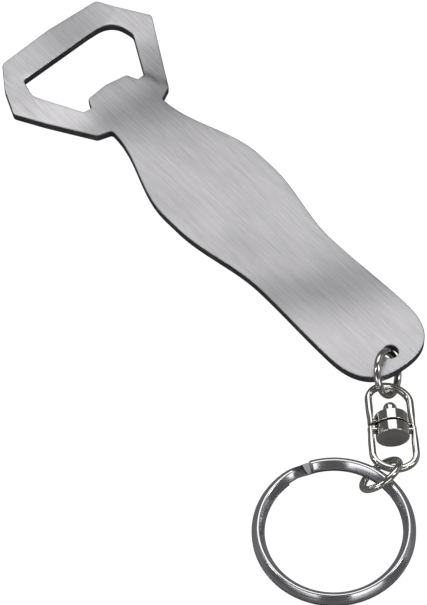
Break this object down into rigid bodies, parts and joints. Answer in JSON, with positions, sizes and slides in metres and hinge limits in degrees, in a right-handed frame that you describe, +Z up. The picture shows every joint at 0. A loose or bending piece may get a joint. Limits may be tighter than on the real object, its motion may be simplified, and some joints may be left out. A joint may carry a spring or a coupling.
{
  "type": "keychain bottle opener",
  "caption": "Flat stamped steel bottle opener with a tongued cap opening and a wavy handle, on a jump ring, riveted swivel and split key ring.",
  "frame": {"origin": "centre of the whole object's footprint, on the table it lies on", "axes": "+X along the handle from the cap opening to the tail, +Z up from the table"},
  "size_m": [0.1432, 0.0662, 0.0089],
  "materials": {
    "brushed_plate": "brushed lengthwise, satin",
    "nickel_plate": "bright nickel plate",
    "polished_ring": "bright drawn wire with fine grain"
  },
  "bodies": {
    "opener": {"opener_plate": "brushed_plate"},
    "upper_ring": {"upper_jump_ring": "nickel_plate"},
    "swivel_upper": {"upper_bail": "nickel_plate", "upper_collar": "nickel_plate", "swivel_pin": "nickel_plate"},
    "swivel_lower": {"lower_bail": "nickel_plate", "lower_collar": "nickel_plate"},
    "lower_ring": {"lower_jump_ring": "nickel_plate"},
    "key_ring": {"split_key_ring": "polished_ring"}
  },
  "joints": [
    {"name": "upper_ring_swing", "type": "hinge", "parent": "opener", "child": "upper_ring", "pos_m": [0.03522, 0.01428, 0.0051], "axis": [-0.0393, 0, 0.9992], "range_deg": [0, 90]},
    {"name": "swivel_swing", "type": "hinge", "parent": "upper_ring", "child": "swivel_upper", "pos_m": [0.04058, 0.0091, 0.00246], "axis": [-0.0075, 0.6726, -0.74], "range_deg": [-35, 15]},
    {"name": "swivel_spin", "type": "hinge", "parent": "swivel_upper", "child": "swivel_lower", "pos_m": [0.04682, 0.00459, 0.00328], "axis": [0.8059, -0.592, 0], "continuous": true},
    {"name": "lower_ring_swing", "type": "hinge", "parent": "swivel_lower", "child": "lower_ring", "pos_m": [0.05415, -0.0008, 0.00328], "axis": [0.5898, 0.8029, -0.0872], "range_deg": [-60, 30]},
    {"name": "key_ring_swing", "type": "hinge", "parent": "lower_ring", "child": "key_ring", "pos_m": [0.05367, -0.00468, 0.00371], "axis": [0.9763, 0.2164, 0], "range_deg": [-55, 70]}
  ]
}
